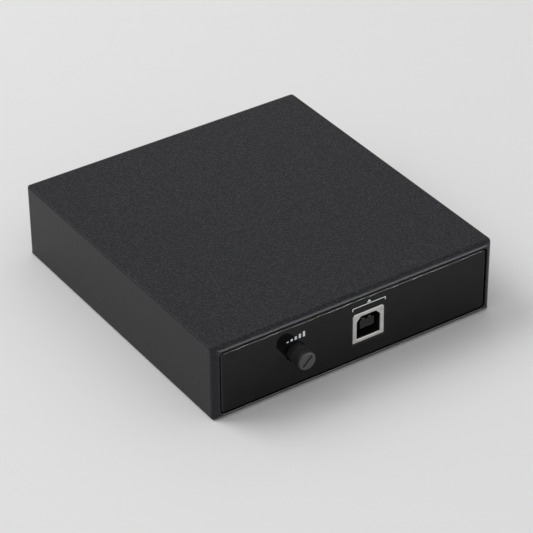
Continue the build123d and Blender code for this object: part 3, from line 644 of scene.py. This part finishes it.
# ---------------------------------------------------------------- the front panel
def socket_outline(wide, tall, cut, low_round, cut_round, grow):
    """An outline about the USB socket's middle, its two high corners cut off. The cuts grow with it by 0.59,
    so that their slopes move out as far as the sides."""
    x, z = wide / 2 + grow, tall / 2 + grow
    cut += grow * 0.59
    corners = [(-x, -z, low_round), (x, -z, low_round), (x, z - cut, cut_round), (x - cut, z, cut_round),
               (-x + cut, z, cut_round), (-x, z - cut, cut_round)]
    return round_outline([(usb_x + a, usb_z + b, r) for a, b, r in corners], 4)


def usb_outline(grow):
    return socket_outline(usb_wide, usb_tall, 0.7, 0.12, 0.3, grow)


def mouth_outline(grow):
    return socket_outline(mouth_wide, mouth_tall, 1.6, 0.3, 0.45, grow)


def make_panel():
    """The panel with its rounded front edge, a flared hole for the knob and a window for the socket."""
    edge, hole_r = 0.42, 3.5

    def outline(grow):
        x0, x1 = panel_low.x - grow, panel_high.x + grow
        z0, z1 = panel_low.z - grow, panel_high.z + grow
        return round_outline(rectangle(x0, x1, z0, z1, panel_corner + grow), 16)

    rows = [(0, panel_back)]
    rows += [(-edge * (1 - c), panel_front + edge * (1 - s)) for s, c in quarter(8)]
    panel = loft("gloss_panel", stack(outline, rows))
    flare = [(hole_r, panel_back + 1), (hole_r, panel_front + 0.12),
             (3.62, panel_front), (3.7, panel_front - 1)]
    hole = lathe("hole", filled(flare), knob_x, knob_z, 120)
    window = loft("window", stack(usb_outline, ((0.2, panel_back + 1), (0.2, panel_front + 0.1),
                                                (0.3, panel_front), (0.3, panel_front - 1))))
    combine(panel, [hole, window])
    place(panel, "case", "gloss_black_acrylic", "front_panel", angle=30)


make_panel()


# ---------------------------------------------------------------- printed marks on the front
def printed(name, pieces):
    """Joins flat shapes into one printed mark that lies on the panel."""
    thick = 0.02
    bm = bmesh.new()
    for outline in pieces:
        low = [bm.verts.new((x * MM, panel_front * MM, z * MM)) for x, z in outline]
        high = [bm.verts.new((x * MM, (panel_front - thick) * MM, z * MM)) for x, z in outline]
        count = len(outline)
        bm.faces.new(low)
        bm.faces.new(list(reversed(high)))
        for n in range(count):
            bm.faces.new((low[n], low[(n + 1) % count], high[(n + 1) % count], high[n]))
    bmesh.ops.recalc_face_normals(bm, faces=bm.faces)
    mesh = bpy.data.meshes.new(name)
    bm.to_mesh(mesh)
    bm.free()
    mesh.materials.append(ink_material)
    mark = link(name, mesh)
    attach(mark, "case")


def make_level_bars():
    """A row of bars over the knob, each higher than the one before."""
    low, bars, wide, step, first_tall, rise = top_z - 7.9, 5, 0.8, 1.5, 0.4, 0.38
    start = knob_x - (step * (bars - 1) + wide) / 2
    rising = []
    for n in range(bars):
        x, high = start + step * n, low + first_tall + rise * n
        rising.append([(x, low), (x + wide, low), (x + wide, high), (x, high)])
    printed("level_bars", rising)


def make_port_bracket():
    """A bracket over the USB socket, with a triangle on it."""
    line, drop, bar_z, half = 0.28, 0.85, top_z - 5.35, 6.3
    left, right, low, high = usb_x - half, usb_x + half, bar_z - drop, bar_z + line
    tri_half, tri_low, tri_high = 0.85, high + 0.25, high + 1.35
    printed("port_bracket", [
        [(left, low), (left + line, low), (left + line, bar_z), (right - line, bar_z),
         (right - line, low), (right, low), (right, high), (left, high)],
        [(usb_x - tri_half, tri_low), (usb_x + tri_half, tri_low), (usb_x, tri_high)],
    ])


make_level_bars()
make_port_bracket()


# ---------------------------------------------------------------- the level knob
def make_knob():
    """A fluted cap with a rounded rim and a slot across its face, open at the back."""
    flutes, flute_r = 20, 0.25
    cap, rim = knob_cap, 0.5
    slot_wide, slot_long, slot_round, slot_floor = 0.70, 4.4, 0.12, cap + 0.45
    bore_r, bore_end = 2.02, cap + 2.2
    rows = [(0.0, cap + 0.03, 0), (1.2, cap + 0.02, 0), (knob_r - rim - 0.1, cap, 0)]
    rows += [(knob_r - rim + rim * s, cap + rim * (1 - c), 0) for s, c in quarter(8)]
    first, last = cap + 0.75, cap + 4.0
    for y, share in ((first, 0), (first + 0.07, 0.45), (first + 0.16, 0.8), (first + 0.28, 1), (last - 0.28, 1),
                     (last - 0.16, 0.8), (last - 0.07, 0.45), (last, 0)):
        rows.append((knob_r, y, share))
    rows += [(knob_r, knob_tail - 0.2, 0), (knob_r - 0.06, knob_tail - 0.06, 0), (knob_r - 0.2, knob_tail, 0),
             (2.12, knob_tail, 0), (bore_r, knob_tail - 0.1, 0), (bore_r, bore_end, 0), (0, bore_end, 0)]
    shape = fluted(rows, flutes, knob_r, flute_r)
    knob = lathe("knob", [row[:2] for row in rows], knob_x, knob_z, 320, shape)
    c, s = math.cos(slot_turn), math.sin(slot_turn)
    loops = []
    for y, g in ((slot_floor, -0.06), (slot_floor - 0.05, 0), (cap + 0.07, 0),
                 (cap - 0.05, 0.12), (cap - 1, 0.12)):
        half, tall = slot_long / 2 + g, slot_wide / 2 + g
        corners = round_outline(rectangle(-half, half, -tall, tall, slot_round), 4)
        loops.append([(knob_x + u * c - v * s, y, knob_z + u * s + v * c) for u, v in corners])
    combine(knob, [loft("slot", loops)])
    place(knob, "level_control", "knob_plastic", "level_knob")


make_knob()


# ---------------------------------------------------------------- the USB socket
def make_usb_shell():
    """The drawn metal shell: its face, the mouth with a rounded edge, and two solder legs."""
    wall, deep, leg_y = 0.35, 8.8, usb_face + 7
    loops = stack(usb_outline, [(0, usb_back)])
    loops += stack(usb_outline, ((0, 0.28), (-0.02, 0.17), (-0.08, 0.07), (-0.18, 0.01), (-0.28, 0)), usb_face)
    loops += stack(mouth_outline, ((0.2, 0), (0.12, 0.01), (0.04, 0.06), (0.01, 0.12), (0, 0.2),
                                   (0, deep), (0.3, deep), (0.3, wall)), usb_face)
    loops += stack(usb_outline, [(-wall, usb_face + wall), (-wall, usb_back)])
    shell = loft("usb_shell", loops, ring=True)
    legs = []
    for way in (-1, 1):
        x = usb_x + way * (usb_wide - wall) / 2
        legs.append(lathe("leg", filled([(0.28, 5.1), (0.4, 5.3), (0.4, 9.4)]), x, leg_y, 20, upright=True))
    combine(shell, legs, "UNION")
    place(shell, "case", "nickel_plate", "usb_socket_shell", finish=shell_material)


def make_usb_block():
    """The black moulding: a back wall inside the shell, and the plain tongue."""
    wall_y, back_y, tip = usb_face + 8.82, usb_face + 13.4, usb_face + 0.8
    block = loft("usb_block", stack(usb_outline, [(-0.37, wall_y), (-0.37, back_y)]))

    def tongue(grow):
        x, z = tongue_wide / 2 + grow, tongue_tall / 2 + grow
        return round_outline(rectangle(usb_x - x, usb_x + x, tongue_z - z, tongue_z + z, 0.16), 3)

    rows = ((-0.18, tip), (-0.05, tip + 0.06), (0, tip + 0.18), (0, wall_y + 0.5))
    combine(block, [loft("tongue", stack(tongue, rows))], "UNION")
    place(block, "case", "black_plastic", "usb_socket_insulator", finish=shaded_socket_black)


def make_usb_lining():
    """The black lining of the mouth, set back behind the shell's bright edge."""
    front, back = usb_face + 0.42, usb_face + 8.78
    rows = ((0.15, front), (-0.03, front), (-0.08, front + 0.06), (-0.08, back), (0.15, back))
    lining = loft("usb_lining", stack(mouth_outline, rows), ring=True)
    place(lining, "case", "black_plastic", finish=shaded_socket_black)


make_usb_shell()
make_usb_block()
make_usb_lining()


# ---------------------------------------------------------------- the back
def make_rear_panel():
    """The folded rear panel, with a hole for each socket, block screw and post, and its flange below."""
    socket_hole, screw_hole, post_hole, jack_hole, chamfer = 4.5, 1.65, 2.15, 4.2, 0.1
    x0, x1 = rear_low.x, rear_high.x
    outline = round_outline(rectangle(x0, x1, floor_z, rear_high.z, 0.6), 4)
    panel = loft("rear_plate", [at_y(outline, y) for y in (rear_face - sheet, rear_face)])
    flange = brick("flange", x0, x1, rear_face - sheet - 10, rear_face - 0.4, floor_z, floor_z + sheet)
    combine(panel, [flange], "UNION")
    places = [(middle_x(node + "_barrel"), socket_z, socket_hole) for node in sockets]
    places += [(middle_x(node), block_screw_z, screw_hole) for node in socket_blocks]
    places += [(post_x, socket_z, post_hole), (jack_x, socket_z, jack_hole)]
    holes = []
    for x, z, r in places:
        profile = shifted(rear_face, [(r, -3), (r, -chamfer), (r + chamfer, 0), (r + chamfer, 1)])
        holes.append(lathe("hole", filled(profile), x, z, 72))
    combine(panel, holes)
    place(panel, "case", "black_powder_coat", "rear_panel", angle=30)


def make_barrel(node):
    """A phono socket's outer contact: a turned shell with a groove near its end and a rounded rim."""
    low, high = node_box(node)
    start, shoulder, end = low.y, rear_face + 0.2, high.y
    outer, inner, seat, bevel, groove, rim = 4.15, 3.55, 3.95, 0.12, 0.09, 0.3
    profile = [(inner, start), (seat, start), (seat, shoulder), (outer - bevel, shoulder),
               (outer, shoulder + bevel), (outer, end - 1.55), (outer - groove, end - 1.45),
               (outer - groove, end - 1.15), (outer, end - 1.05), (outer, end - rim)]
    profile += [(outer - rim + rim * c, end - rim + rim * s) for s, c in quarter(6, 1)]
    profile += [(inner + 0.18, end), (inner + 0.06, end - 0.05), (inner, end - 0.18)]
    barrel = lathe(node + "_turned", profile, middle_x(node), socket_z, 96, ring=True)
    place(barrel, "case", "nickel_plate", node)


def make_phono_insulator(node):
    """The coloured ring between the barrel and the centre contact, with a shallow groove in its face."""
    low, high = node_box(node)
    end, r, bore = high.y, (high.x - low.x) / 2, 2.13
    profile = [(bore, low.y), (r, low.y), (r, end - 0.2), (r - 0.06, end - 0.06), (r - 0.2, end),
               (r - 0.45, end), (r - 0.55, end - 0.08), (r - 0.6, end - 0.22), (bore + 0.42, end - 0.22),
               (bore + 0.36, end - 0.06), (bore + 0.26, end), (bore + 0.1, end), (bore, end - 0.1)]
    insulator = lathe(node + "_moulded", profile, middle_x(node), socket_z, 80, ring=True)
    place(insulator, "case", "white_plastic" if "left" in node else "red_plastic", node)


def make_phono_contact(node):
    """The centre contact: a tube for the plug's pin, slit crosswise at its mouth."""
    x, end = middle_x(node), node_box(node)[1].y
    back = node_box(node.replace("_contact", "_barrel"))[0].y - 9.8
    bore, outer, wide_bore, slit, slit_y = 1.65, 2.1, 1.85, 0.14, end - 4.5
    profile = [(bore, end - 8.3), (wide_bore, end - 8.5), (wide_bore, end - 14), (0.0, end - 14), (0.0, back),
               (outer, back), (outer, end - 0.2), (2.04, end - 0.06), (1.92, end), (1.86, end),
               (1.72, end - 0.08), (bore, end - 0.25)]
    contact = lathe(node + "_turned", profile, x, socket_z, 64, ring=True)
    combine(contact, [brick("slit", x - slit, x + slit, slit_y, end + 1, socket_z - 3, socket_z + 3),
                      brick("slit", x - 3, x + 3, slit_y, end + 1, socket_z - slit, socket_z + slit)])
    place(contact, "case", "gold_plate", node)


def hexagonal(across):
    """A shape for lathe: a hexagon of that size across its flats, no wider than each row's radius."""
    def shape(angle, radius, row):
        return min(radius, across / 2 / math.cos((angle + math.pi / 6) % (math.pi / 3) - math.pi / 6))
    return shape


def make_hex_nut(node, name):
    """A hexagonal nut on the post, chamfered at both faces."""
    low, high = node_box(node)
    y0, y1, bore = low.y, high.y, 2.02
    across = min(high.z - low.z, high.x - low.x)
    flat, point = across / 2, across / 2 / math.cos(math.pi / 6) + 0.02
    profile = [(bore, y0 + 0.15), (bore + 0.15, y0), (flat - 0.15, y0), (flat + 0.25, y0 + 0.18),
               (point, y0 + 0.36), (point, y1 - 0.36), (flat + 0.25, y1 - 0.18), (flat - 0.15, y1),
               (bore + 0.15, y1), (bore, y1 - 0.15)]
    nut = lathe(name, profile, post_x, socket_z, 144, hexagonal(across), ring=True)
    place(nut, "case", "nickel_plate", node, angle=24)


def make_post():
    """The post: plain inside, an M4 thread outside, with its end chamfered."""
    low, high = node_box("ground_post")
    r, pitch, depth, run_in, tip_r = 2.0, 0.7, 0.36, 0.6, 1.5
    start, end = rear_face - 6.5, high.y
    steps = int((end - start) / (pitch / 10))
    thread = [start + (end - start) * n / steps for n in range(steps + 1)]
    head = [(0, low.y), (r - 0.3, low.y), (r, low.y + 0.3)]

    def wound(angle, radius, row):
        row -= len(head)
        if row < 0 or row >= len(thread):
            return radius
        y = thread[row]
        wave = abs(((y / pitch - angle / (2 * math.pi)) % 1) * 2 - 1)
        tooth = r - depth * max(0.0, min(1.0, wave * 1.35 - 0.18))
        fade = min(1.0, (y - start) / run_in)
        return min(r + (tooth - r) * fade, tip_r + (end - y))

    profile = head + [(r, y) for y in thread] + [(1.45, end), (0, end)]
    post = lathe("threaded_post", profile, post_x, socket_z, 48, wound)
    place(post, "case", "nickel_plate", "ground_post", angle=50)


def make_washer():
    """The clamp washer, its edges rounded."""
    low, high = node_box("ground_clamp_washer")
    y0, y1, r, bore, bore_edge = low.y, high.y, (high.x - low.x) / 2, 2.15, 2.23
    profile = [(bore, y0 + 0.08), (bore_edge, y0), (r - 0.12, y0), (r - 0.03, y0 + 0.04), (r, y0 + 0.14),
               (r, y1 - 0.14), (r - 0.03, y1 - 0.04), (r - 0.12, y1), (bore_edge, y1), (bore, y1 - 0.08)]
    washer = lathe("pressed_washer", profile, post_x, socket_z, 96, ring=True)
    place(washer, "clamp_washer", "nickel_plate", "ground_clamp_washer", angle=38)


def make_thumb_nut():
    """A round nut with grooves for the fingers and a shallow recess in its face."""
    low, high = node_box("ground_thumb_nut")
    y0, y1, r = low.y, high.y, (high.x - low.x) / 2
    grooves, groove_r, bore = 24, 0.3, 2.05
    rows = [(bore, y0 + 0.25, 0), (2.3, y0, 0), (r - 0.32, y0, 0), (r - 0.05, y0 + 0.26, 0.6),
            (r, y0 + 0.34, 1), (r, y1 - 0.42, 1), (r - 0.05, y1 - 0.34, 0.6), (r - 0.36, y1 - 0.06, 0),
            (r - 0.5, y1, 0), (r - 1.0, y1, 0), (r - 1.1, y1 - 0.1, 0), (r - 1.15, y1 - 0.3, 0),
            (2.5, y1 - 0.3, 0), (2.3, y1 - 0.3, 0), (bore, y1 - 0.5, 0)]
    shape = fluted(rows, grooves, r, groove_r)
    nut = lathe("grooved_thumb_nut", [row[:2] for row in rows], post_x, socket_z, 288, shape, ring=True)
    place(nut, "thumb_nut", "nickel_plate", "ground_thumb_nut")


def make_jack():
    """The power jack's moulding: a box inside, and a round nose with the plug's well in it."""
    low, high = jack_low, jack_high
    nose, inside, nose_r, well_r = high.y, rear_face - sheet, 4.0, 3.2

    def outline(grow):
        return round_outline(rectangle(low.x - grow, high.x + grow, low.z - grow, high.z + grow, 0.3), 3)

    body = loft("jack_moulding", stack(outline, ((-0.12, low.y), (0, low.y + 0.12), (0, inside))))
    profile = [(nose_r, inside - 1), (nose_r, nose - 0.2), (3.94, nose - 0.06), (3.8, nose)]
    combine(body, [lathe("ring", filled(profile), jack_x, socket_z, 96)], "UNION")
    profile = shifted(nose, [(well_r, -10), (well_r, -0.25), (3.26, -0.08), (3.4, 0), (3.4, 1)])
    combine(body, [lathe("well", filled(profile), jack_x, socket_z, 96, turn=0.5)])
    place(body, "case", "black_plastic", "power_jack_body")


def make_jack_pin():
    """The jack's centre pin, its tip rounded, thinner behind the well's floor."""
    low, high = node_box("power_jack_pin")
    tip, r, neck_r, neck_y = high.y, (high.x - low.x) / 2, 0.85, jack_high.y - 9.8
    profile = [(0.45, tip), (0.72, tip - 0.07), (0.92, tip - 0.2), (r - 0.03, tip - 0.36), (r, tip - 0.55),
               (r, neck_y), (neck_r, neck_y), (neck_r, low.y)]
    pin = lathe("jack_centre_pin", filled(profile), jack_x, socket_z, 48)
    place(pin, "case", "nickel_plate", "power_jack_pin")


def tapping_screw(x):
    """A pan-head screw through the rear panel, with a point and a cross recess."""
    z, face = block_screw_z, rear_face
    rows = shifted(face, [(0, -8), (0.4, -7.6), (1.3, -6.6), (1.5, -6), (1.5, 0), (2.35, 0), (2.57, 0.08),
                          (2.6, 0.3)])
    rows += [(1.55 + 1.05 * c, face + 0.3 + 1.4 * s) for s, c in quarter(8, 1)]
    rows.append((0, face + 1.7))
    screw = lathe("screw", rows, x, z, 64)
    # The arms' depths differ by a hair, because planes that meet exactly leave faulty meshes.
    combine(screw, [brick("arm", x - 1.45, x + 1.45, face + 0.95, face + 3, z - 0.33, z + 0.33),
                    brick("arm", x - 0.35, x + 0.35, face + 0.96, face + 3, z - 1.44, z + 1.44)])
    return screw


def make_tapping_screws():
    """One screw into each socket block."""
    whole = joined("cross_screws", (tapping_screw(middle_x(node)) for node in socket_blocks))
    place(whole, "case", "black_zinc_steel", "socket_screws")


make_rear_panel()
for socket in sockets:
    make_barrel(socket + "_barrel")
    make_phono_insulator(socket + "_insulator")
    make_phono_contact(socket + "_contact")
make_post()
make_hex_nut("ground_seat_nut", "seat_nut")
make_hex_nut("ground_lock_nut", "lock_nut")
make_washer()
make_thumb_nut()
make_jack()
make_jack_pin()
make_tapping_screws()


# ---------------------------------------------------------------- underneath
def make_foot(node):
    """A stick-on pad with a shallow dish in its face."""
    low, high = node_box(node)
    x, y, r = (low.x + high.x) / 2, (low.y + high.y) / 2, (high.x - low.x) / 2
    profile = [(r - 0.02, high.z), (r, high.z - 0.05), (r, low.z + 0.14), (r - 0.04, low.z + 0.05),
               (r - 0.13, low.z), (r - 1.1, low.z), (r - 1.2, low.z + 0.04), (r - 1.3, low.z + 0.06)]
    pad = lathe(node + "_pad", filled(profile), x, y, 80, upright=True)
    place(pad, "case", "black_rubber", node, angle=38)


def case_screw(x, y):
    """A countersunk screw from below, with a hexagonal recess turned off the head's own facets."""
    shank_r, key_r, key_turn, key_deep = 1.25, 0.87, 11, 0.7
    profile = shifted(base_z, [(2.15, 0), (2.28, 0.05), (1.3, 1.02), (shank_r, 1.1), (shank_r, 4.8), (1.05, 5)])
    screw = lathe("screw", filled(profile), x, y, 48, upright=True)
    angles = [math.radians(60 * n + key_turn) for n in range(6)]
    outline = [(x + key_r * math.cos(a), y + key_r * math.sin(a)) for a in angles]
    combine(screw, [loft("key", [[(u, v, z) for u, v in outline] for z in (base_z - 1, base_z + key_deep)])])
    return screw


def make_case_screws():
    """The eight screws in the cover's tabs and the panels' flanges."""
    whole = joined("countersunk_screws", (case_screw(x, y) for x, y in screw_places + flange_places))
    place(whole, "case", "black_zinc_steel", "case_screws")


for end in ("front", "rear"):
    for side in ("left", "right"):
        make_foot("foot_" + end + "_" + side)
make_case_screws()

# ---------------------------------------------------------------- CAD nodes that stay
slot_of = {part["node"]: part["material_slot"] for part in frame["record"]["subparts"]}
for node, shown in frame["nodes"].items():
    for held in shown.material_slots:
        held.material = contact_material if node == "usb_contacts" else materials[slot_of[node]]

# ---------------------------------------------------------------- floor, light and camera, in metres
scene = bpy.context.scene
scene.view_settings.view_transform = "Standard"


def make_floor():
    s = Shader("pale_floor", (0.86, 0.86, 0.855), 0.9, specular=0.0)
    tone = s.noise(1.2, 1.0)
    s.color(s.blend(s.spread(tone, 0.3, 0.7, 0, 1), (0.85, 0.85, 0.845), (0.87, 0.87, 0.865)))
    half = 9
    mesh = bpy.data.meshes.new("floor")
    corners = [(-half, -half, 0), (half, -half, 0), (half, half, 0), (-half, half, 0)]
    mesh.from_pydata(corners, [], [(0, 1, 2, 3)])
    mesh.materials.append(s.material)
    link("floor", mesh)


def make_world():
    world = bpy.data.worlds.new("studio")
    scene.world = world
    world.use_nodes = True
    sky = world.node_tree.nodes["Background"]
    sky.inputs["Color"].default_value = (0.57, 0.57, 0.575, 1)
    sky.inputs["Strength"].default_value = 1.0


def area_light(name, place_at, target, size, power, spread=180, tall=None):
    """A square lamp, or a strip when tall is given. spread is how wide its grid lets the light out, in
    degrees."""
    light = bpy.data.lights.new(name, "AREA")
    light.energy = power
    light.size = size
    if tall:
        light.shape = "RECTANGLE"
        light.size_y = tall
    light.spread = math.radians(spread)
    lamp = bpy.data.objects.new(name, light)
    lamp.location = place_at
    lamp.rotation_euler = (Vector(target) - Vector(place_at)).to_track_quat("-Z", "Y").to_euler()
    scene.collection.objects.link(lamp)


def make_camera():
    """A long lens, turned, tipped down and slightly rolled."""
    turn, down, roll = math.radians(33.678), math.radians(34.057), math.radians(-0.4835)
    ahead = Vector((math.sin(turn) * math.cos(down), math.cos(turn) * math.cos(down), -math.sin(down)))
    level = Vector((math.cos(turn), -math.sin(turn), 0))
    up = level.cross(ahead)
    right = level * math.cos(roll) + up * math.sin(roll)
    above = right.cross(ahead)
    lens = bpy.data.cameras.new("camera")
    lens.lens = 168.22
    lens.sensor_width = 36
    lens.clip_start, lens.clip_end = 0.02, 40
    camera = bpy.data.objects.new("camera", lens)
    axes = Matrix((right, above, -ahead)).transposed().to_4x4()
    axes.translation = Vector((-0.370156, -0.563122, 0.460177))
    camera.matrix_world = axes
    scene.collection.objects.link(camera)
    scene.camera = camera


make_floor()
make_world()
area_light("key", (-0.80, 0.90, 1.30), (0, 0, 0.01), 1.1, 13)
area_light("top_sheen", (0.32, 0.48, 0.43), (0, 0, 0.026), 0.22, 0.10)
area_light("front_strip", (0.94, -1.79, 0.018), (-0.01, -0.03, 0.018), 0.66, 0.22, 11, tall=0.014)
make_camera()
